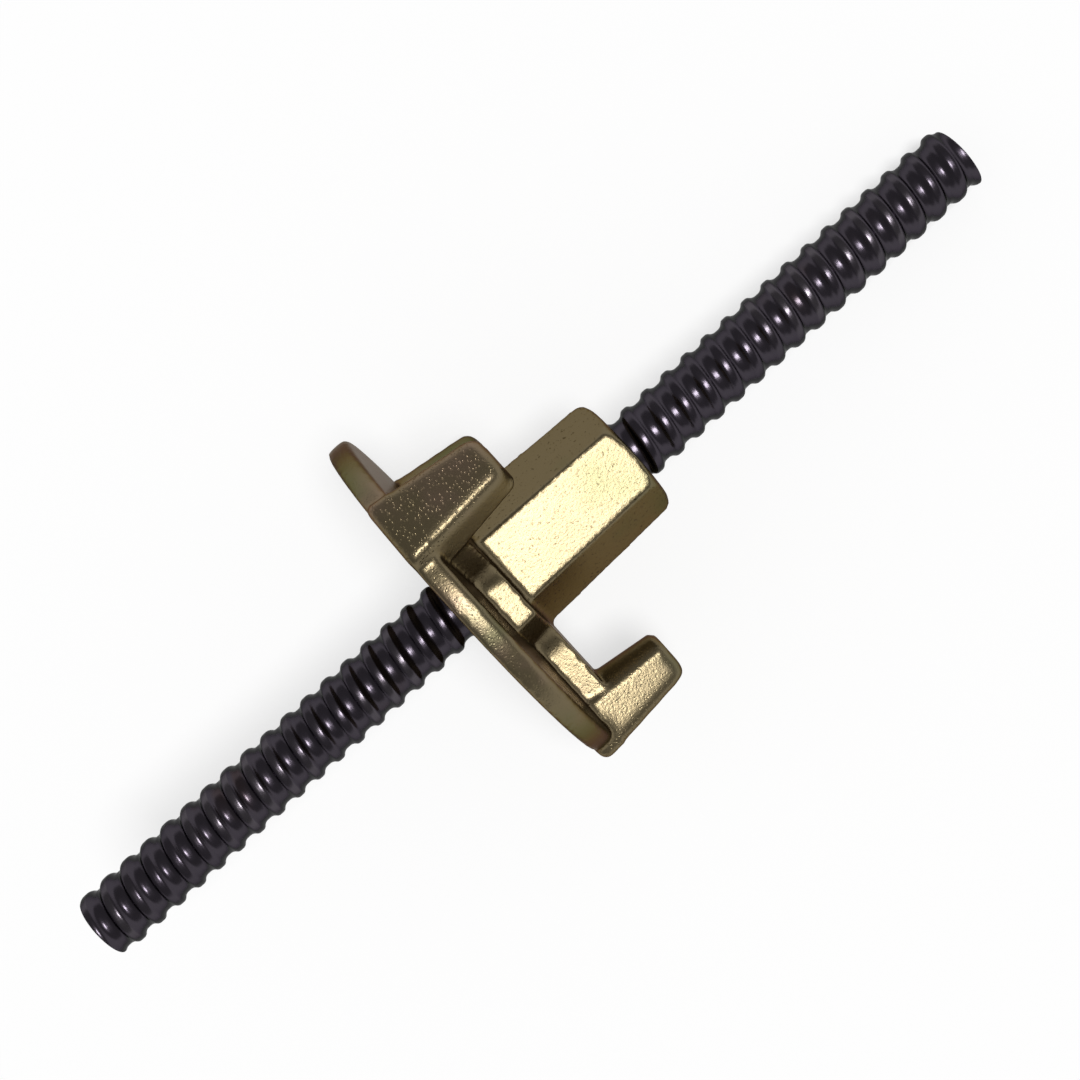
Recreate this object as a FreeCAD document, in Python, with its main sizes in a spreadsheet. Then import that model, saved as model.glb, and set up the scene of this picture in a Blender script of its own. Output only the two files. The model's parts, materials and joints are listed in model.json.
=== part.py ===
import FreeCAD, Part
import math
import os

import Sketcher
from FreeCAD import Vector

# Formwork tie rod with a flanged anchor nut, lying as it comes to rest.
# The rod is a rolled bar with a coarse left-hand thread over its whole length.
# The nut is one casting: round flange, hexagon, and lugs on webs for a hammer or a bar.

# Driving sizes, in millimetres and degrees
SIZES = {
    "rod_length": 256,
    "rod_diameter": 16,
    "root_diameter": 13.8,
    "thread_pitch": 6,
    "crest_width": 1.9,
    "nut_place": 107.9,
    "nut_clearance": 0.25,
    "nut_height": 50,
    "mouth_chamfer": 1,
    "flange_diameter": 89,
    "rim_thickness": 5.5,
    "rim_chamfer": 0.8,
    "collar_flats": 37,
    "collar_top": 11.5,
    "collar_draft": 4,
    "hex_base_flats": 29,
    "hex_top_flats": 26.4,
    "hex_foot_chamfer": 1,
    "crown_depth": 2.6,
    "crown_flat_diameter": 25,
    "web_width": 14.4,
    "web_root_radius": 8,
    "lug_count": 3,
    "lug_height": 27,
    "lug_foot_radius": 47.3,
    "lug_top_radius": 45.2,
    "lug_foot_width": 17.4,
    "lug_top_width": 11.8,
    "lug_nose_centre": 40.2,
    "lug_nose_span": 120,
    "lug_chamfer": 1.2,
    "lug_heel_chamfer": 1.4,
    "rest_roll": 3,
}

# Helix direction: True is left-hand, as on this rod
LEFT_HAND = True

doc = FreeCAD.newDocument("formwork_tie_rod")
sheet = doc.addObject("Spreadsheet::Sheet", "Sizes")


def fill_sheet():
    for row, (alias, value) in enumerate(SIZES.items(), start=1):
        sheet.set(f"A{row}", alias)
        sheet.set(f"B{row}", str(value))
        sheet.setAlias(f"B{row}", alias)
    doc.recompute()


def size(alias):
    return float(sheet.get(alias))


# Sketch and feature helpers


def origin_plane(body, role):
    return next(o for o in body.Origin.OriginFeatures if o.Role == role)


def new_sketch(body, name, role="XY_Plane", height=None):
    sketch = body.newObject("Sketcher::SketchObject", name)
    sketch.AttachmentSupport = [(origin_plane(body, role), "")]
    sketch.MapMode = "FlatFace"
    if height:
        sketch.setExpression("AttachmentOffset.Base.z", height)
    return sketch


def bind(sketch, constraint, expression):
    index = sketch.addConstraint(constraint)
    sketch.setExpression(f"Constraints[{index}]", expression)


def closed_outline(sketch, corners):
    """Closed outline from (x, y) expressions. A third entry makes the edge from that corner an arc:
    its radius, with a minus sign where the arc bends to the right on the way to the next corner."""
    places = [Vector(sketch.evalExpression(c[0]), sketch.evalExpression(c[1]), 0) for c in corners]
    count = len(corners)
    for i, corner in enumerate(corners):
        start, end = places[i], places[(i + 1) % count]
        if len(corner) == 2:
            sketch.addGeometry(Part.LineSegment(start, end))
            continue
        turn = -1 if corner[2].startswith("-") else 1
        radius = sketch.evalExpression(corner[2].lstrip("-"))
        half = (end - start) * 0.5
        depth = radius - math.sqrt(max(radius**2 - half.Length**2, 0))
        side = Vector(half.y, -half.x, 0).normalize() * turn
        arc = Part.Arc(start, start + half + side * depth, end)
        sketch.addGeometry(arc)
    for i, corner in enumerate(corners):
        after = (i + 1) % count
        first = 1 if runs_forward(sketch, i, places[i]) else 2
        following = 1 if runs_forward(sketch, after, places[after]) else 2
        sketch.addConstraint(Sketcher.Constraint("Coincident", i, 3 - first, after, following))
    for i, corner in enumerate(corners):
        first = 1 if runs_forward(sketch, i, places[i]) else 2
        pin_point(sketch, i, first, corner[0], corner[1], places[i])
        if len(corner) == 3:
            radius = corner[2].lstrip("-")
            value = sketch.evalExpression(radius)
            bind(sketch, Sketcher.Constraint("Radius", i, value), radius)


def runs_forward(sketch, edge, start):
    """True if the stored edge starts at this corner: the sketch keeps every arc anticlockwise."""
    return sketch.getPoint(edge, 1).distanceToPoint(start) < sketch.getPoint(edge, 2).distanceToPoint(start)


def pin_point(sketch, edge, end, x, y, at):
    for axis, kind, expression, value in ((-2, "DistanceX", x, at.x), (-1, "DistanceY", y, at.y)):
        if expression == "0":
            sketch.addConstraint(Sketcher.Constraint("PointOnObject", edge, end, axis))
        else:
            bind(sketch, Sketcher.Constraint(kind, -1, 1, edge, end, value), expression)


def hexagon(sketch, flats):
    """Hexagon of this width across flats, with a corner on the sketch's X axis."""
    corner = f"({flats}) / sqrt(3)"
    spots = [
        (f"{corner} * cos({60 * k} deg)", f"{corner} * sin({60 * k} deg)" if k % 3 else "0")
        for k in range(6)
    ]
    closed_outline(sketch, spots)


def new_feature(body, kind, name):
    """Solid feature that keeps its own faces: merging them can spoil a round end's top."""
    feature = body.newObject(f"PartDesign::{kind}", name)
    feature.Refine = False
    return feature


def revolved(body, kind, sketch):
    feature = new_feature(body, kind, f"{sketch.Name}_{kind.lower()}")
    feature.Profile = sketch
    feature.ReferenceAxis = (sketch, ["V_Axis"])
    feature.Angle = 360
    doc.recompute()
    return feature


def lofted(body, name, sketches):
    loft = new_feature(body, "AdditiveLoft", name)
    loft.Profile = sketches[0]
    loft.Sections = sketches[1:]
    loft.Ruled = True
    doc.recompute()
    return loft


def padded(body, name, sketch, length, draft=None):
    pad = new_feature(body, "Pad", name)
    pad.Profile = sketch
    pad.setExpression("Length", length)
    if draft:
        pad.setExpression("TaperAngle", f"-{draft}")
    doc.recompute()
    return pad


# Anchor nut, built along its own Z axis from the bearing face up


def flange(body):
    sketch = new_sketch(body, "flange_profile", "XZ_Plane")
    rim, cut, edge = "Sizes.rim_thickness", "Sizes.rim_chamfer", "Sizes.flange_diameter / 2"
    closed_outline(
        sketch,
        [
            ("0", "0"),
            (edge, "0"),
            (edge, f"{rim} - {cut}"),
            (f"{edge} - {cut}", rim),
            ("0", rim),
        ],
    )
    revolved(body, "Revolution", sketch)


def collar(body):
    sketch = new_sketch(body, "collar_plan")
    spread = "2 * Sizes.collar_top * tan(Sizes.collar_draft * 1 deg)"
    hexagon(sketch, f"Sizes.collar_flats + {spread}")
    padded(body, "collar", sketch, "Sizes.collar_top", "Sizes.collar_draft")


def web(body):
    """Arm from the collar out to a lug, with hollow corners where it leaves the collar."""
    sketch = new_sketch(body, "web_plan")
    half, flat, hollow = "Sizes.web_width / 2", "Sizes.collar_flats / 2", "Sizes.web_root_radius"
    leave = f"({flat} + {hollow} - ({half} + {hollow}) * sin(30 deg)) / cos(30 deg)"
    meet_x = f"{leave} - {hollow} * cos(30 deg)"
    meet_y = f"{half} + {hollow} * (1 - sin(30 deg))"
    end = "(Sizes.lug_nose_centre + Sizes.lug_top_radius) / 2"
    closed_outline(
        sketch,
        [
            (meet_x, f"-({meet_y})", f"-{hollow}"),
            (leave, f"-{half}"),
            (end, f"-{half}"),
            (end, half),
            (leave, half, f"-{hollow}"),
            (meet_x, meet_y),
        ],
    )
    return padded(body, "web", sketch, "Sizes.collar_top")


def nose_radius(half):
    """Radius of a nose that meets sides this far from its middle in a crease."""
    return f"({half}) / sin(Sizes.lug_nose_span / 2 * 1 deg)"


def lug_plan(body, name, reach, width, height=None):
    """Plan of a lug outside its nose, with its outer corners cut."""
    sketch = new_sketch(body, name, height=height)
    half, cut = f"({width}) / 2", "Sizes.lug_chamfer"
    crease = f"Sizes.lug_nose_centre - {nose_radius(half)} * cos(Sizes.lug_nose_span / 2 * 1 deg)"
    closed_outline(
        sketch,
        [
            (crease, f"-{half}"),
            (f"{reach} - {cut}", f"-{half}"),
            (reach, f"{cut} - {half}"),
            (reach, f"{half} - {cut}"),
            (f"{reach} - {cut}", half),
            (crease, half),
        ],
    )
    return sketch


def lug_nose(body):
    """Round drafted nose of a lug, facing the hexagon."""
    sketch = new_sketch(body, "lug_nose_profile", "XZ_Plane")
    cut, top, middle = "Sizes.lug_chamfer", "Sizes.lug_height", "Sizes.lug_nose_centre"
    wide, narrow = "Sizes.lug_foot_width / 2", "Sizes.lug_top_width / 2"
    closed_outline(
        sketch,
        [
            (middle, "0"),
            (middle, top),
            (f"{middle} - {nose_radius(f'{narrow} - {cut}')}", top),
            (f"{middle} - {nose_radius(narrow)}", f"{top} - {cut}"),
            (f"{middle} - {nose_radius(wide)}", "Sizes.lug_heel_chamfer"),
            (f"{middle} - {nose_radius(wide)}", "0"),
        ],
    )
    nose = new_feature(body, "Revolution", "lug_nose")
    nose.Profile = sketch
    nose.ReferenceAxis = (sketch, ["Edge1"])
    nose.Midplane = True
    nose.setExpression("Angle", "Sizes.lug_nose_span")
    doc.recompute()
    return nose


def lug(body):
    """Drafted lug with its outer heel cut, and its top edge cut all round."""
    cut, heel, top = "Sizes.lug_chamfer", "Sizes.lug_heel_chamfer", "Sizes.lug_height"
    wide, narrow = "Sizes.lug_foot_width", "Sizes.lug_top_width"
    low, high = "Sizes.lug_foot_radius", "Sizes.lug_top_radius"
    plans = [
        lug_plan(body, "lug_foot", f"{low} - {heel}", wide),
        lug_plan(body, "lug_heel", low, wide, heel),
        lug_plan(body, "lug_shoulder", high, narrow, f"{top} - {cut}"),
        lug_plan(body, "lug_top", f"{high} - {cut}", f"{narrow} - 2 * {cut}", top),
    ]
    return lofted(body, "lug", plans)


def spread(body, feature):
    """Repeat a feature for every lug."""
    ring = new_feature(body, "PolarPattern", f"{feature.Name}_ring")
    ring.Originals = [feature]
    ring.Axis = (origin_axis(body), [""])
    ring.Angle = 360
    ring.setExpression("Occurrences", "Sizes.lug_count")
    body.Tip = ring
    doc.recompute()


def origin_axis(body):
    return next(o for o in body.Origin.OriginFeatures if o.Role == "Z_Axis")


def wrench_hexagon(body):
    """Drafted hexagon on the collar, flared at its foot."""
    foot, flare = "Sizes.hex_base_flats", "Sizes.hex_foot_chamfer"
    levels = [
        ("hexagon_root", f"{foot} + 2 * {flare}", "Sizes.rim_thickness"),
        ("hexagon_flare", f"{foot} + 2 * {flare}", "Sizes.collar_top"),
        ("hexagon_foot", foot, f"Sizes.collar_top + {flare}"),
        ("hexagon_top", "Sizes.hex_top_flats", "Sizes.nut_height"),
    ]
    plans = []
    for name, flats, height in levels:
        plan = new_sketch(body, name, height=height)
        hexagon(plan, flats)
        plans.append(plan)
    lofted(body, "hexagon", plans)


def crown(body):
    """Domed end of the hexagon, turned on all its corners in two steps."""
    sketch = new_sketch(body, "crown_profile", "XZ_Plane")
    flat, depth, top = "Sizes.crown_flat_diameter / 2", "Sizes.crown_depth", "Sizes.nut_height"
    corner = "Sizes.hex_top_flats / sqrt(3) * 1.02"
    start = f"{top} - {depth}"
    closed_outline(
        sketch,
        [
            (corner, start),
            (f"{flat} + ({corner} - {flat}) * 0.6", f"{top} - {depth} * 0.3"),
            (flat, top),
            (flat, f"{top} + {depth}"),
            (f"2 * {corner}", f"{top} + {depth}"),
            (f"2 * {corner}", start),
        ],
    )
    revolved(body, "Groove", sketch)


def bore(body):
    sketch = new_sketch(body, "bore_profile", "XZ_Plane")
    wall = "Sizes.rod_diameter / 2 + Sizes.nut_clearance"
    cut, top = "Sizes.mouth_chamfer", "Sizes.nut_height"
    wide = f"{wall} + 2 * {cut}"
    closed_outline(
        sketch,
        [
            ("0", f"-{cut}"),
            (wide, f"-{cut}"),
            (wall, cut),
            (wall, f"{top} - {cut}"),
            (wide, f"{top} + {cut}"),
            ("0", f"{top} + {cut}"),
        ],
    )
    revolved(body, "Groove", sketch)


def anchor_nut():
    body = doc.addObject("PartDesign::Body", "anchor_nut")
    body.Label = "anchor_nut"
    flange(body)
    collar(body)
    for repeated in (web, lug, lug_nose):
        spread(body, repeated(body))
    wrench_hexagon(body)
    crown(body)
    bore(body)
    return body


# Tie rod, built along its own Z axis


def thread_turn(points, pitch):
    """One turn of the thread: a ruled face between the helices through each pair of profile points."""
    helices = []
    for radius, height in points:
        helix = Part.makeHelix(pitch, pitch, radius, 0, LEFT_HAND).Edges[0]
        helix.translate(Vector(0, 0, height))
        helices.append(helix)
    return [Part.makeRuledSurface(low, high) for low, high in zip(helices, helices[1:])]


def thread_cap(points, pitch, height):
    """Closes the thread at one end: a helical floor to the axis and the profile's own plane."""
    helix = Part.makeHelix(pitch, pitch, points[0][0], 0, LEFT_HAND).Edges[0]
    floor = Part.makeRuledSurface(helix, Part.makeLine(Vector(0, 0, 0), Vector(0, 0, pitch)))
    corners = [Vector(radius, 0, z) for radius, z in points] + [Vector(0, 0, pitch), Vector(0, 0, 0)]
    wall = Part.Face(Part.makePolygon(corners + corners[:1]))
    for face in (floor, wall):
        face.translate(Vector(0, 0, height))
    return [floor, wall]


def tie_rod():
    """Rod with a crest ending on its far end along local X, where it meets the ground."""
    length, pitch, land = size("rod_length"), size("thread_pitch"), size("crest_width")
    root, crest = size("root_diameter") / 2, size("rod_diameter") / 2
    flank = (pitch - land) / 2
    points = [(root, 0), (crest, flank), (crest, flank + land), (root, pitch)]
    turns = math.ceil(length / pitch) + 2
    start = length - flank - land - (turns - 1) * pitch
    faces = []
    for k in range(turns):
        for face in thread_turn(points, pitch):
            face.translate(Vector(0, 0, start + k * pitch))
            faces.append(face)
    faces += thread_cap(points, pitch, start) + thread_cap(points, pitch, start + turns * pitch)
    skin = Part.Compound(faces)
    skin.sewShape()
    blank = Part.Solid(skin.Shells[0])
    cut = blank.common(Part.makeCylinder(2 * crest, length))
    rod = doc.addObject("Part::Feature", "tie_rod")
    rod.Label = "tie_rod"
    rod.Shape = cut.Solids[0]
    return rod


# Rest: the part lies on the flange's rim and on the rod's far end, rolled a little off one lug


def lug_corners():
    """Corners of a lug that can touch the ground: reach, offset from its middle, and height."""
    cut, reach, half = size("lug_chamfer"), size("lug_top_radius"), size("lug_top_width") / 2
    for inset, height in ((cut, size("lug_height")), (0, size("lug_height") - cut)):
        yield reach - inset, half - inset - cut, height
        yield reach - inset - cut, half - inset, height


def rest_pose():
    """Slope of the rod, height of the bearing face's centre, and the lowest lug's turn from straight down."""
    radius, far_end = size("rod_diameter") / 2, size("rod_length") - size("nut_place")
    rim_edge = size("rim_thickness") - size("rim_chamfer")
    slope = math.atan2(size("flange_diameter") / 2 - radius, far_end - rim_edge)
    height = far_end * math.sin(slope) + radius * math.cos(slope)
    turns = []
    for reach, offset, level in lug_corners():
        lean = (height - level * math.sin(slope)) / (math.hypot(reach, offset) * math.cos(slope))
        turns.append(math.acos(min(lean, 1)) + math.atan2(offset, reach))
    return slope, height, max(turns) + math.radians(size("rest_roll"))


def side_shift(turn):
    """Sideways shift that puts the middle of the part's width over the origin."""
    rim, reach, count = size("flange_diameter") / 2, size("lug_foot_radius"), int(size("lug_count"))
    corner = size("lug_foot_width") / 2 - size("lug_chamfer")
    edges = [rim, -rim]
    for k in range(count):
        angle = turn + 2 * math.pi * k / count
        for offset in (corner, -corner):
            edges.append(reach * math.sin(angle) + offset * math.cos(angle))
    return -(max(edges) + min(edges)) / 2


def turned_frame(pose, turn, along):
    """Placement with local Z down the rod and local X turned from straight down towards +Y."""
    slope, height, lug_turn = pose
    axis = Vector(math.cos(slope), 0, -math.sin(slope))
    down = Vector(-math.sin(slope), 0, -math.cos(slope))
    local_x = down * math.cos(turn) + Vector(0, 1, 0) * math.sin(turn)
    local_y = axis.cross(local_x)
    middle = size("rod_length") / 2 - size("nut_place")
    face_centre = Vector(-middle * math.cos(slope), side_shift(lug_turn), height)
    base = face_centre + axis * along
    return FreeCAD.Placement(base, FreeCAD.Rotation(local_x, local_y, axis, "ZXY"))


def check(parts):
    for item in doc.Objects:
        if "Invalid" in item.State or "Error" in item.State:
            raise RuntimeError(f"{item.Name} failed: {item.State}")
    for item in parts:
        if item.Shape.isNull() or not item.Shape.isValid() or len(item.Shape.Solids) != 1:
            raise RuntimeError(f"{item.Label} isn't one valid solid")


def main():
    fill_sheet()
    nut = anchor_nut()
    rod = tie_rod()
    pose = rest_pose()
    nut.Placement = turned_frame(pose, pose[2], 0)
    rod.Placement = turned_frame(pose, 0, -size("nut_place"))
    doc.recompute()
    check([nut, rod])
    os.makedirs("parts", exist_ok=True)
    for item in (nut, rod):
        item.Shape.exportStep(f"parts/{item.Label}.step")
        print(item.Label, round(item.Shape.Volume, 1), "mm3")
    print("slope", math.degrees(pose[0]), "height", pose[1], "turn", math.degrees(pose[2]), side_shift(pose[2]))


main()
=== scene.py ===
"""Formwork tie rod with its anchor nut: finishes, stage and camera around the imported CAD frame."""

import json
import math

import bmesh
import bpy
from bpy.props import FloatProperty, FloatVectorProperty, IntProperty, PointerProperty
from bpy.types import NodeSocket, Operator, Panel, PropertyGroup
from mathutils import Matrix, Vector


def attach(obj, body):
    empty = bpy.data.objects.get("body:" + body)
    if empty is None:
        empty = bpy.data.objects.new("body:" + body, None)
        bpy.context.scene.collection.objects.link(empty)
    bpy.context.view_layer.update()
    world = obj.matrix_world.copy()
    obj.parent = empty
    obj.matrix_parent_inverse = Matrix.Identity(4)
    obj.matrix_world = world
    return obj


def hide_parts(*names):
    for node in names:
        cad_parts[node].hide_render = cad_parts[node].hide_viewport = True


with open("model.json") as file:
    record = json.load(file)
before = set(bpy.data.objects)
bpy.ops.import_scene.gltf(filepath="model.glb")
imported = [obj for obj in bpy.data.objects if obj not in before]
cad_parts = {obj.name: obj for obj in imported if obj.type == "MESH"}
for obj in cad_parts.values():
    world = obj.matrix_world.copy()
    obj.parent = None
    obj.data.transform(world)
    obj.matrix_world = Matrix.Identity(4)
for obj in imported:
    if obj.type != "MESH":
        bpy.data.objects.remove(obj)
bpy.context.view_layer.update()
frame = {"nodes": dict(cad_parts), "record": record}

bl_info = {
    "name": "Formwork Tie Rod",
    "version": (1, 0, 0),
    "blender": (4, 5, 0),
    "location": "3D View > Sidebar > Tie Rod",
    "description": "Dresses a threaded formwork tie rod and its cast anchor nut, and sets up their stage",
    "category": "Object",
}

MOUNTS = {mount["name"]: Vector(mount["pos_m"]) for mount in frame["record"]["mounts"]}
BEARING_FACE = MOUNTS["bearing_face"]
ROD_TOP = MOUNTS["upper_thread"]
ROD_FOOT = MOUNTS["lower_thread"]
ROD_AXIS = (ROD_FOOT - ROD_TOP).normalized()
ROD_LENGTH = (ROD_FOOT - ROD_TOP).length
WORLD_UP = Vector((0, 0, 1))
# Square to the rod: straight down its slope, and level across it
DOWN = (ROD_AXIS * WORLD_UP.dot(ROD_AXIS) - WORLD_UP).normalized()
ACROSS = ROD_AXIS.cross(DOWN)
# Points of the nut's solid this close become one
WELD_DISTANCE = 1e-6
# Share of the way to its neighbours that a point moves in one smoothing pass
SMOOTHING = 0.5
# Places of a Mix node's colour sockets, which share their names with its other sockets
MIX_FIRST, MIX_SECOND, MIX_RESULT = 6, 7, 2


# Settings


def length(name, text, default):
    return FloatProperty(name=name, description=text, default=default, unit="LENGTH", precision=5)


def angle(name, text, degrees):
    return FloatProperty(name=name, description=text, default=math.radians(degrees), subtype="ANGLE")


def amount(name, text, default):
    return FloatProperty(name=name, description=text, default=default)


def count(name, text, default, least=0):
    return IntProperty(name=name, description=text, default=default, min=least)


def colour(name, text, default):
    return FloatVectorProperty(
        name=name, description=text, default=default, size=3, subtype="COLOR", min=0, max=1
    )


class TieRodSettings(PropertyGroup):
    """Sizes and colours of the threaded rod."""

    pitch: length("Pitch", "Advance of the thread in one turn", 0.006)
    crest_radius: length("Crest radius", "Radius over the crests", 0.008)
    root_radius: length("Root radius", "Radius at the bottom of the groove", 0.00695)
    land: length("Land", "Width of a crest in the CAD model", 0.0019)
    crest_flat: length("Crest flat", "Half width of the crest before it rounds off", 0.0004)
    crest_round: length("Crest round", "Radius of the crest's edges", 0.0011)
    groove_round: length("Groove round", "Radius of the hollow at each side of the groove", 0.0018)
    step: length("Ring step", "Distance between rings of the mesh", 0.00025)
    around: count("Around", "Points in each ring", 64, least=12)
    rub_start: length("Rub start", "Depth under the crests where rubbing begins", 0.00015)
    rub_full: length("Rub full", "Depth under the crests where rubbing is full", 0.00002)
    bloom_height: length("Bloom height", "Height over the groove's bottom where the bloom ends", 0.0006)
    skin: colour("Skin", "Dark rolled skin", (0.042, 0.035, 0.046))
    rubbed: colour("Rubbed", "Steel where the crests are rubbed", (0.09, 0.08, 0.09))
    rust: colour("Rust", "Faint brown bloom in the grooves", (0.04, 0.018, 0.01))


class AnchorNutSettings(PropertyGroup):
    """Sizes and colours of the cast nut."""

    voxel: length("Voxel", "Grid of the rounded casting", 0.0006)
    rounding: count("Rounding", "Passes that round the casting's edges", 1)
    lug_rounding: count("Lug rounding", "Further passes on the lugs' outer edges", 30)
    lug_start: length("Lug start", "Distance from the axis where the lugs' softer edges begin", 0.0385)
    rim_rounding: count("Rim rounding", "Further passes on the rim", 12)
    rim_start: length("Rim start", "Distance from the axis where the rim's softer edges begin", 0.0405)
    rim_top: length("Rim top", "Height of the flange's rim over the bearing face", 0.0055)
    bore_radius: length("Bore radius", "Free radius kept round the rod", 0.0083)
    grain_start: length("Grain start", "Distance from the axis where the coarser grain begins", 0.022)
    grain_full: length("Grain full", "Distance from the axis where the coarser grain is full", 0.038)
    lug_face_start: length("Lug face start", "Distance from the axis where the coarsest grain begins", 0.0444)
    lug_face_full: length("Lug face full", "Distance from the axis where the coarsest grain is full", 0.0454)
    hexagon_dimples: amount("Hexagon dimples", "Depth of the dimples on the hexagon", 0.02)
    flange_dimples: amount("Flange dimples", "Further depth on the flange and the lugs' sides", 0.055)
    lug_dimples: amount("Lug dimples", "Further depth on the lugs' outer faces", 0.165)
    olive: colour("Olive", "Main colour of the passivated zinc", (0.165, 0.132, 0.076))
    rose: colour("Rose", "Pink tint of the passivation", (0.21, 0.15, 0.105))
    moss: colour("Moss", "Green tint of the passivation", (0.13, 0.123, 0.064))
    # Painted shade: colour laid into the low spots of the cast grain
    pit_shade: colour("Pit", "Dark bottoms of the cast grain", (0.05, 0.038, 0.018))


class StageSettings(PropertyGroup):
    """Camera, lamps and floor."""

    distance: length("Distance", "From the camera to the rod's axis", 0.4)
    foot: length("Foot", "Camera's place along the rod, from its middle", 0.006)
    roll_round: angle("Roll round", "Camera's turn about the rod from straight above", 4.6)
    slant: angle("Slant", "Angle of the rod in the picture", 42.1)
    aim_along: length("Aim along", "Picture's centre along the rod, from its middle", 0.0021)
    aim_across: length("Aim across", "Picture's centre across the rod", 0.00127)
    pixels_per_metre: amount("Scale", "Picture pixels for a metre at the rod's axis", 4483.0)
    picture: count("Picture", "Width of the picture in pixels", 1080)
    key: amount("Key", "Strength of the key lamp", 2.3)
    key_spread: angle("Key spread", "Apparent width of the key lamp", 18)
    key_across: amount("Key across", "Key lamp's lean across the rod, as a slope from the camera", 0.09)
    key_along: amount("Key along", "Key lamp's lean along the rod, as a slope from the camera", 0.06)
    fill: amount("Fill", "Strength of the even light from all round", 0.3)
    horizon_full: amount("Horizon full", "Rise up to which the horizon is pale", 0.15)
    horizon_end: amount("Horizon end", "Rise over which only the dim ceiling is left", 0.35)
    floor: colour("Floor", "Pale floor", (0.9, 0.9, 0.9))
    floor_half: length("Floor half", "Half width of the floor", 3.0)
    floor_glow: amount("Floor glow", "Brightness of the floor as the camera and mirrors see it", 1.06)
    glow_share: amount("Glow share", "How far that brightness covers the shadow", 0.6)


# Shader helpers


def new_material(name):
    material = bpy.data.materials.new(name)
    material.use_nodes = True
    material.node_tree.nodes.clear()
    return material, material.node_tree


def new_node(tree, kind, **values):
    """New node with its own properties set."""
    node = tree.nodes.new(kind)
    for key, value in values.items():
        setattr(node, key, value)
    return node


def give(tree, socket, value):
    """Link another socket to this one, or set it to a plain value."""
    if isinstance(value, NodeSocket):
        tree.links.new(value, socket)
    else:
        socket.default_value = value


def feed(tree, node, **inputs):
    """Give a node its inputs by name."""
    for key, value in inputs.items():
        give(tree, node.inputs[key.replace("_", " ")], value)
    return node


def in_order(tree, node, values):
    """Give a node its inputs in their order."""
    for socket, value in zip(node.inputs, values):
        give(tree, socket, value)
    return node


def calculate(tree, operation, *values):
    node = new_node(tree, "ShaderNodeMath", operation=operation)
    return in_order(tree, node, values).outputs["Value"]


def scaled(tree, value, times, plus=0.0):
    return calculate(tree, "MULTIPLY_ADD", value, times, plus)


def product(tree, first, second):
    return calculate(tree, "MULTIPLY", first, second)


def vector_math(tree, operation, *values):
    node = new_node(tree, "ShaderNodeVectorMath", operation=operation)
    return in_order(tree, node, values).outputs


def object_place(tree):
    return new_node(tree, "ShaderNodeTexCoord").outputs["Object"]


def noise(tree, where, scale, detail):
    node = new_node(tree, "ShaderNodeTexNoise")
    return feed(tree, node, Vector=where, Scale=scale, Detail=detail).outputs["Fac"]


def ramp(tree, value, zero, one):
    """0 up to the first place and 1 past the second, smooth between them, in either direction."""
    node = new_node(tree, "ShaderNodeMapRange", interpolation_type="SMOOTHSTEP")
    return feed(tree, node, Value=value, From_Min=zero, From_Max=one).outputs["Result"]


def blend(tree, share, first, second):
    node = new_node(tree, "ShaderNodeMix", data_type="RGBA")
    feed(tree, node, Factor=share)
    give(tree, node.inputs[MIX_FIRST], first)
    give(tree, node.inputs[MIX_SECOND], second)
    return node.outputs[MIX_RESULT]


def opaque(rgb):
    return (*rgb, 1.0)


def group_ends(tree, inputs, outputs):
    """Make a group's sockets, and its input and output nodes."""
    for name, default in inputs.items():
        socket = tree.interface.new_socket(name=name, in_out="INPUT", socket_type="NodeSocketFloat")
        socket.default_value = default
    for name in outputs:
        tree.interface.new_socket(name=name, in_out="OUTPUT", socket_type="NodeSocketFloat")
    return tree.nodes.new("NodeGroupInput").outputs, tree.nodes.new("NodeGroupOutput")


def grain_group():
    """Grainy metal skin: a height for bump, and masks for pits, for round dimples and for large clouds."""
    tree = bpy.data.node_groups.new("metal_grain", "ShaderNodeTree")
    scales, ends = group_ends(
        tree,
        {"Fine Scale": 1500.0, "Coarse Scale": 500.0, "Cloud Scale": 60.0, "Dimple Scale": 1450.0},
        ("Height", "Pits", "Clouds", "Dimples"),
    )
    where = object_place(tree)
    fine = noise(tree, where, scales["Fine Scale"], detail=2.0)
    coarse = noise(tree, where, scales["Coarse Scale"], detail=3.0)
    clouds = noise(tree, where, scales["Cloud Scale"], detail=3.0)
    height = scaled(tree, fine, 0.55, plus=scaled(tree, coarse, 0.45))
    # Low spots of the grain's height; the zinc finish paints shade into them
    pits = ramp(tree, height, zero=0.42, one=0.35)
    cells = feed(tree, new_node(tree, "ShaderNodeTexVoronoi"), Vector=where, Scale=scales["Dimple Scale"])
    dimples = ramp(tree, cells.outputs["Distance"], zero=0.38, one=0.06)
    feed(tree, ends, Height=height, Pits=pits, Clouds=clouds, Dimples=dimples)
    return tree


def place_grain(tree, fine, coarse, clouds):
    node = tree.nodes.new("ShaderNodeGroup")
    node.node_tree = bpy.data.node_groups.get("metal_grain") or grain_group()
    return feed(tree, node, Fine_Scale=fine, Coarse_Scale=coarse, Cloud_Scale=clouds).outputs


def bumped(tree, height, strength, distance):
    node = new_node(tree, "ShaderNodeBump")
    return feed(tree, node, Height=height, Strength=strength, Distance=distance).outputs["Normal"]


def metal(tree, base, roughness, normal, tint):
    """Metal shader, whose tint darkens the faces that are seen edge-on."""
    shader = new_node(tree, "ShaderNodeBsdfPrincipled")
    feed(tree, shader, Base_Color=base, Roughness=roughness, Normal=normal, Metallic=1.0)
    feed(tree, shader, Specular_Tint=opaque(tint))
    feed(tree, new_node(tree, "ShaderNodeOutputMaterial"), Surface=shader.outputs["BSDF"])
    return shader


def reach_from_axis(tree):
    """Distance from the rod's axis."""
    offset = vector_math(tree, "SUBTRACT", object_place(tree), ROD_TOP)["Vector"]
    square = vector_math(tree, "CROSS_PRODUCT", offset, ROD_AXIS)["Vector"]
    return vector_math(tree, "LENGTH", square)["Value"]


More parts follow.
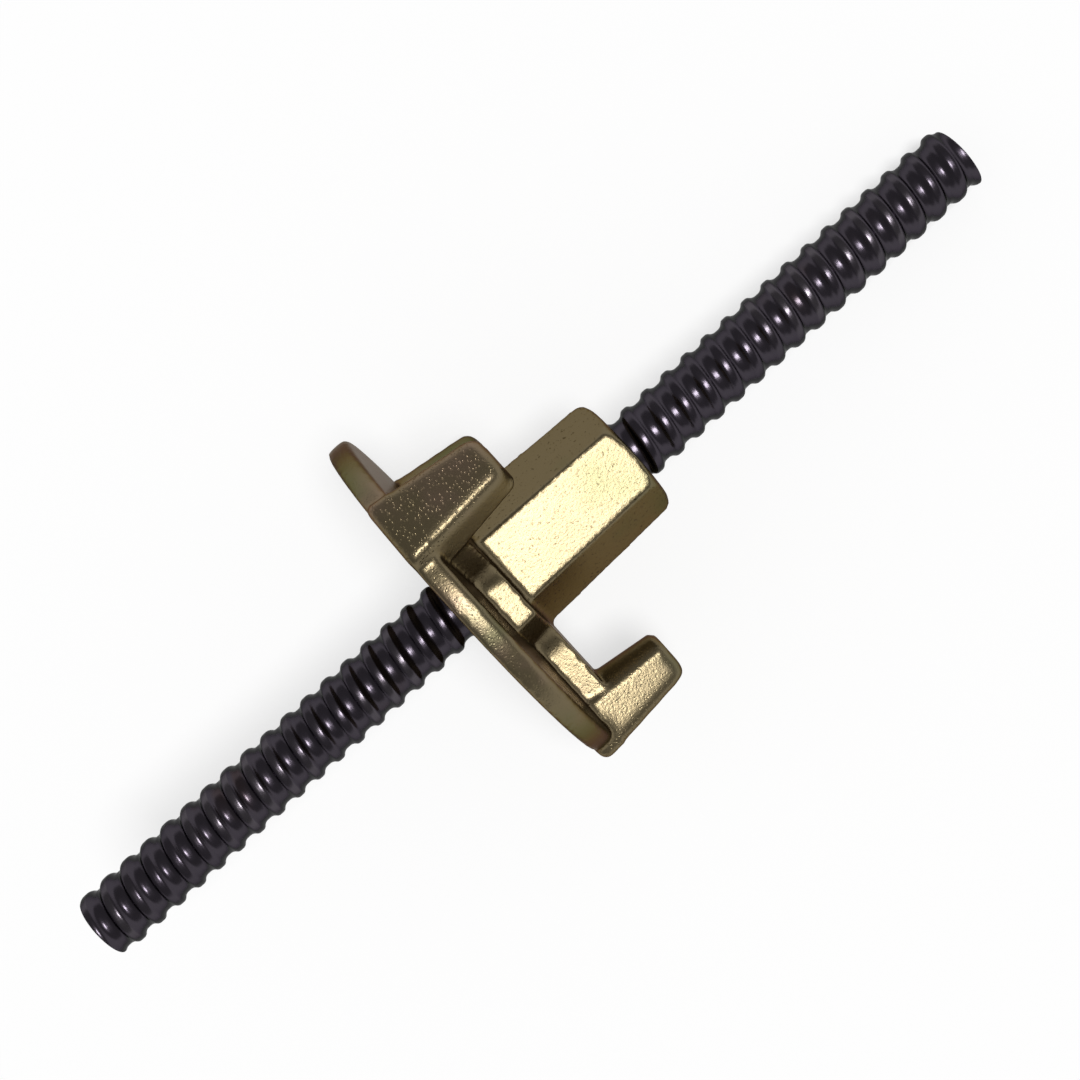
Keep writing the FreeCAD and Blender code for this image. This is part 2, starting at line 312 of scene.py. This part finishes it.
def seen_rays(tree):
    """1 for rays from the camera, from mirrors and through glass."""
    path = new_node(tree, "ShaderNodeLightPath").outputs
    mirrored = calculate(tree, "MAXIMUM", path["Is Glossy Ray"], path["Is Transmission Ray"])
    return calculate(tree, "MAXIMUM", path["Is Camera Ray"], mirrored)


# Finishes


def rolled_steel(settings):
    """Dark mill skin, rubbed on the crests, with a little bloom in the grooves."""
    material, tree = new_material("rolled_steel")
    grain = place_grain(tree, fine=1100.0, coarse=380.0, clouds=45.0)
    reach = reach_from_axis(tree)
    top, bottom = settings.crest_radius, settings.root_radius
    crest = ramp(tree, reach, zero=top - settings.rub_start, one=top - settings.rub_full)
    groove = ramp(tree, reach, zero=bottom + settings.bloom_height, one=bottom)
    patchy = product(tree, crest, ramp(tree, grain["Clouds"], zero=0.4, one=0.62))
    bloom = product(tree, groove, ramp(tree, grain["Clouds"], zero=0.56, one=0.74))
    base = blend(tree, scaled(tree, patchy, 0.6), opaque(settings.skin), opaque(settings.rubbed))
    base = blend(tree, scaled(tree, bloom, 0.4), base, opaque(settings.rust))
    roughness = scaled(tree, grain["Height"], 0.2, plus=0.16)
    skin = bumped(tree, grain["Height"], strength=0.25, distance=0.00012)
    shader = metal(tree, base, roughness, skin, tint=(0.02, 0.02, 0.02))
    feed(tree, shader, Coat_Weight=0.25, Coat_Roughness=0.18, Coat_Normal=skin)
    return material


def passivated_zinc(settings):
    """Yellow-passivated zinc on a casting: smooth on the hexagon, dimpled and pinker on the flange and lugs,
    with painted shade in the grain's low spots.
    """
    material, tree = new_material("passivated_zinc")
    grain = place_grain(tree, fine=1900.0, coarse=1000.0, clouds=55.0)
    tints = place_grain(tree, fine=900.0, coarse=300.0, clouds=28.0)
    reach = reach_from_axis(tree)
    outer = ramp(tree, reach, zero=settings.grain_start, one=settings.grain_full)
    lug_faces = ramp(tree, reach, zero=settings.lug_face_start, one=settings.lug_face_full)
    rosy = product(tree, outer, ramp(tree, grain["Clouds"], zero=0.46, one=0.66))
    mossy = ramp(tree, tints["Clouds"], zero=0.5, one=0.66)
    # Painted shade: the grain's low spots are darkened, mostly on the hexagon and less towards the rim
    shaded_specks = product(tree, grain["Pits"], calculate(tree, "SUBTRACT", 0.8, outer))
    base = blend(tree, rosy, opaque(settings.olive), opaque(settings.rose))
    base = blend(tree, mossy, base, opaque(settings.moss))
    base = blend(tree, shaded_specks, base, opaque(settings.pit_shade))
    roughness = scaled(tree, grain["Clouds"], 0.1, plus=0.28)
    swell = scaled(tree, grain["Height"], 0.18)
    depth = scaled(tree, outer, settings.flange_dimples, plus=settings.hexagon_dimples)
    depth = scaled(tree, lug_faces, settings.lug_dimples, plus=depth)
    height = calculate(tree, "SUBTRACT", swell, product(tree, depth, grain["Dimples"]))
    normal = bumped(tree, height, strength=1.0, distance=0.0004)
    shader = metal(tree, base, roughness, normal, tint=(0.25, 0.19, 0.12))
    feed(tree, shader, Coat_Weight=0.1, Coat_Roughness=0.3)
    return material


def pale_floor(settings):
    """Matt floor that the camera, and reflections, see nearly white, with the part's shadow left on it."""
    material, tree = new_material("pale_floor")
    matt = feed(tree, new_node(tree, "ShaderNodeBsdfDiffuse"), Color=opaque(settings.floor))
    glow = feed(tree, new_node(tree, "ShaderNodeEmission"), Color=(1, 1, 1, 1), Strength=settings.floor_glow)
    mix = new_node(tree, "ShaderNodeMixShader")
    share = scaled(tree, seen_rays(tree), settings.glow_share)
    in_order(tree, mix, (share, matt.outputs["BSDF"], glow.outputs["Emission"]))
    feed(tree, new_node(tree, "ShaderNodeOutputMaterial"), Surface=mix.outputs["Shader"])
    return material


# Pieces


def spoke_to(point):
    """From the rod's axis to a point, square to the rod."""
    offset = point - ROD_TOP
    return offset - ROD_AXIS * offset.dot(ROD_AXIS)


def arc_depth(radius, offset):
    """Depth of an arc of this radius, at this offset from its middle."""
    return radius - math.sqrt(radius**2 - offset**2)


def thread_radius(settings, along, turn):
    """Radius of the rolled thread at a place along the rod and an angle round it.
    A rounded crest meets a hollow in mid-flank, and the groove's bottom is straight between its hollows."""
    first_crest = ROD_LENGTH - settings.land / 2
    phase = (along - first_crest) / settings.pitch + turn / (2 * math.pi)
    past_flat = abs(phase - round(phase)) * settings.pitch - settings.crest_flat
    rounds = settings.crest_round + settings.groove_round
    steepest = math.acos(1 - (settings.crest_radius - settings.root_radius) / rounds)
    if past_flat < settings.crest_round * math.sin(steepest):
        return settings.crest_radius - arc_depth(settings.crest_round, max(past_flat, 0))
    before_bottom = rounds * math.sin(steepest) - past_flat
    return settings.root_radius + arc_depth(settings.groove_round, max(before_bottom, 0))


def thread_mesh(settings):
    """Rings of points along the rod, joined by faces and closed at both ends."""
    rings = round(ROD_LENGTH / settings.step)
    around = settings.around
    points, faces = [], []
    for ring in range(rings + 1):
        along = ROD_LENGTH * ring / rings
        for spot in range(around):
            turn = 2 * math.pi * spot / around
            radius = thread_radius(settings, along, turn)
            spoke = DOWN * math.cos(turn) + ACROSS * math.sin(turn)
            points.append(ROD_TOP + ROD_AXIS * along + spoke * radius)
    for ring in range(rings):
        for spot in range(around):
            low, after = ring * around, (spot + 1) % around
            faces.append((low + spot, low + after, low + around + after, low + around + spot))
    sides = len(faces)
    faces.append(tuple(reversed(range(around))))
    faces.append(tuple(range(rings * around, (rings + 1) * around)))
    mesh = bpy.data.meshes.new("tie_rod_thread")
    mesh.from_pydata(points, [], faces)
    mesh.polygons.foreach_set("use_smooth", [True] * sides + [False] * 2)
    mesh.update()
    return mesh


def cast_mesh(settings):
    """The nut's solid with the soft edges and hollow corners of a casting."""
    source = frame["nodes"]["anchor_nut"]
    rough = bpy.data.objects.new("anchor_nut_rough", source.data.copy())
    bpy.context.scene.collection.objects.link(rough)
    form = bmesh.new()
    form.from_mesh(rough.data)
    bmesh.ops.remove_doubles(form, verts=form.verts, dist=WELD_DISTANCE)
    form.to_mesh(rough.data)
    form.free()
    grid = rough.modifiers.new("grid", "REMESH")
    grid.mode = "VOXEL"
    grid.voxel_size = settings.voxel
    soften = rough.modifiers.new("soften", "SMOOTH")
    soften.factor = SMOOTHING
    soften.iterations = settings.rounding
    graph = bpy.context.evaluated_depsgraph_get()
    mesh = bpy.data.meshes.new_from_object(rough.evaluated_get(graph))
    mesh.name = "anchor_nut_casting"
    bpy.data.objects.remove(rough)
    soften_edges(mesh, settings)
    clear_bore(mesh, settings.bore_radius)
    mesh.polygons.foreach_set("use_smooth", [True] * len(mesh.polygons))
    return mesh


def soften_edges(mesh, settings):
    """Round the rim's and the lugs' outer edges more than the rest, as they wear and cast rounder."""
    form = bmesh.new()
    form.from_mesh(mesh)
    lugs, rim = [], []
    for vertex in form.verts:
        reach = spoke_to(vertex.co).length
        height = (vertex.co - BEARING_FACE).dot(ROD_AXIS)
        if reach > settings.lug_start and height > settings.rim_top + settings.voxel:
            lugs.append(vertex)
        elif reach > settings.rim_start:
            rim.append(vertex)
    for points, passes in ((rim, settings.rim_rounding), (lugs, settings.lug_rounding)):
        for _ in range(passes):
            bmesh.ops.smooth_vert(
                form, verts=points, factor=SMOOTHING, use_axis_x=True, use_axis_y=True, use_axis_z=True
            )
    form.to_mesh(mesh)
    form.free()


def clear_bore(mesh, radius):
    """Keep the casting off the rod."""
    for vertex in mesh.vertices:
        spoke = spoke_to(vertex.co)
        if spoke.length < radius:
            vertex.co += spoke.normalized() * (radius - spoke.length)


def place(mesh, name, node, body, material):
    """Put a piece in place of a CAD node, on that node's body."""
    piece = bpy.data.objects.new(name, mesh)
    bpy.context.scene.collection.objects.link(piece)
    mesh.materials.clear()
    mesh.materials.append(material)
    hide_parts(node)
    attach(piece, body)


class OBJECT_OT_tie_rod(Operator):
    """Make the rolled thread in place of the rod's solid"""

    bl_idname = "object.tie_rod"
    bl_label = "Tie Rod"

    def execute(self, context):
        settings = context.scene.tie_rod
        place(thread_mesh(settings), "rolled_rod", "tie_rod", "rod", rolled_steel(settings))
        return {"FINISHED"}


class OBJECT_OT_anchor_nut(Operator):
    """Make the softened casting in place of the nut's solid"""

    bl_idname = "object.anchor_nut"
    bl_label = "Anchor Nut"

    def execute(self, context):
        settings = context.scene.anchor_nut
        place(cast_mesh(settings), "cast_nut", "anchor_nut", "nut", passivated_zinc(settings))
        return {"FINISHED"}


# Stage


def camera_side(settings):
    """Unit vectors from the rod to the camera, and across the rod towards the picture's lower right."""
    turn = settings.roll_round
    towards = -DOWN * math.cos(turn) - ACROSS * math.sin(turn)
    across = DOWN * math.sin(turn) - ACROSS * math.cos(turn)
    return towards, across


def add_camera(context, settings):
    middle = (ROD_TOP + ROD_FOOT) / 2
    towards, across = camera_side(settings)
    spot = middle + ROD_AXIS * settings.foot + towards * settings.distance
    target = middle + ROD_AXIS * settings.aim_along + across * settings.aim_across
    back = (spot - target).normalized()
    along = (ROD_AXIS - back * ROD_AXIS.dot(back)).normalized()
    rise = back.cross(along)
    right = along * math.cos(settings.slant) - rise * math.sin(settings.slant)
    up = along * math.sin(settings.slant) + rise * math.cos(settings.slant)
    data = bpy.data.cameras.new("camera")
    data.sensor_width = 36.0
    data.lens = data.sensor_width * settings.pixels_per_metre * settings.distance / settings.picture
    data.clip_start = 0.01
    camera = bpy.data.objects.new("camera", data)
    camera.matrix_world = Matrix((right, up, back)).transposed().to_4x4()
    camera.location = spot
    context.scene.collection.objects.link(camera)
    context.scene.camera = camera


def add_key(context, settings):
    """Sun close beside the camera."""
    data = bpy.data.lights.new("key", "SUN")
    data.energy = settings.key
    data.angle = settings.key_spread
    key = bpy.data.objects.new("key", data)
    towards, across = camera_side(settings)
    lean = across * settings.key_across + ROD_AXIS * settings.key_along
    direction = (towards + lean).normalized()
    key.rotation_euler = direction.to_track_quat("Z", "Y").to_euler()
    context.scene.collection.objects.link(key)


def add_world(context, settings):
    """Even light, with a pale horizon for the camera and mirrors under a dim ceiling."""
    world = bpy.data.worlds.new("even_light")
    world.use_nodes = True
    tree = world.node_tree
    tree.nodes.clear()
    direction = new_node(tree, "ShaderNodeTexCoord").outputs["Generated"]
    rise = feed(tree, new_node(tree, "ShaderNodeSeparateXYZ"), Vector=direction).outputs["Z"]
    horizon = ramp(tree, rise, zero=settings.horizon_end, one=settings.horizon_full)
    pale = product(tree, seen_rays(tree), horizon)
    level = feed(tree, new_node(tree, "ShaderNodeMapRange"), Value=pale, To_Min=settings.fill, To_Max=1.0)
    sky = new_node(tree, "ShaderNodeBackground")
    feed(tree, sky, Color=(1, 1, 1, 1), Strength=level.outputs["Result"])
    feed(tree, new_node(tree, "ShaderNodeOutputWorld"), Surface=sky.outputs["Background"])
    context.scene.world = world


def add_floor(context, settings):
    half = settings.floor_half
    corners = [(-half, -half, 0), (half, -half, 0), (half, half, 0), (-half, half, 0)]
    mesh = bpy.data.meshes.new("floor")
    mesh.from_pydata(corners, [], [(0, 1, 2, 3)])
    mesh.materials.append(pale_floor(settings))
    floor = bpy.data.objects.new("floor", mesh)
    context.scene.collection.objects.link(floor)


class OBJECT_OT_tie_rod_stage(Operator):
    """Set up the floor, the light and the camera"""

    bl_idname = "object.tie_rod_stage"
    bl_label = "Stage"

    def execute(self, context):
        settings = context.scene.tie_rod_stage
        context.scene.view_settings.view_transform = "Standard"
        add_camera(context, settings)
        add_key(context, settings)
        add_world(context, settings)
        add_floor(context, settings)
        return {"FINISHED"}


class VIEW3D_PT_tie_rod(Panel):
    """Lists the pieces and the stage."""

    bl_label = "Tie Rod"
    bl_space_type = "VIEW_3D"
    bl_region_type = "UI"
    bl_category = "Tie Rod"

    def draw(self, context):
        for operator in OPERATORS:
            self.layout.operator(operator.bl_idname)


OPERATORS = (OBJECT_OT_tie_rod, OBJECT_OT_anchor_nut, OBJECT_OT_tie_rod_stage)
SETTINGS = {"tie_rod": TieRodSettings, "anchor_nut": AnchorNutSettings, "tie_rod_stage": StageSettings}
CLASSES = (*SETTINGS.values(), *OPERATORS, VIEW3D_PT_tie_rod)


def register():
    for item in CLASSES:
        bpy.utils.register_class(item)
    for name, group in SETTINGS.items():
        setattr(bpy.types.Scene, name, PointerProperty(type=group))


def unregister():
    for name in SETTINGS:
        delattr(bpy.types.Scene, name)
    for item in reversed(CLASSES):
        bpy.utils.unregister_class(item)


def main():
    register()
    bpy.ops.object.tie_rod()
    bpy.ops.object.anchor_nut()
    bpy.ops.object.tie_rod_stage()


if __name__ == "__main__":
    main()
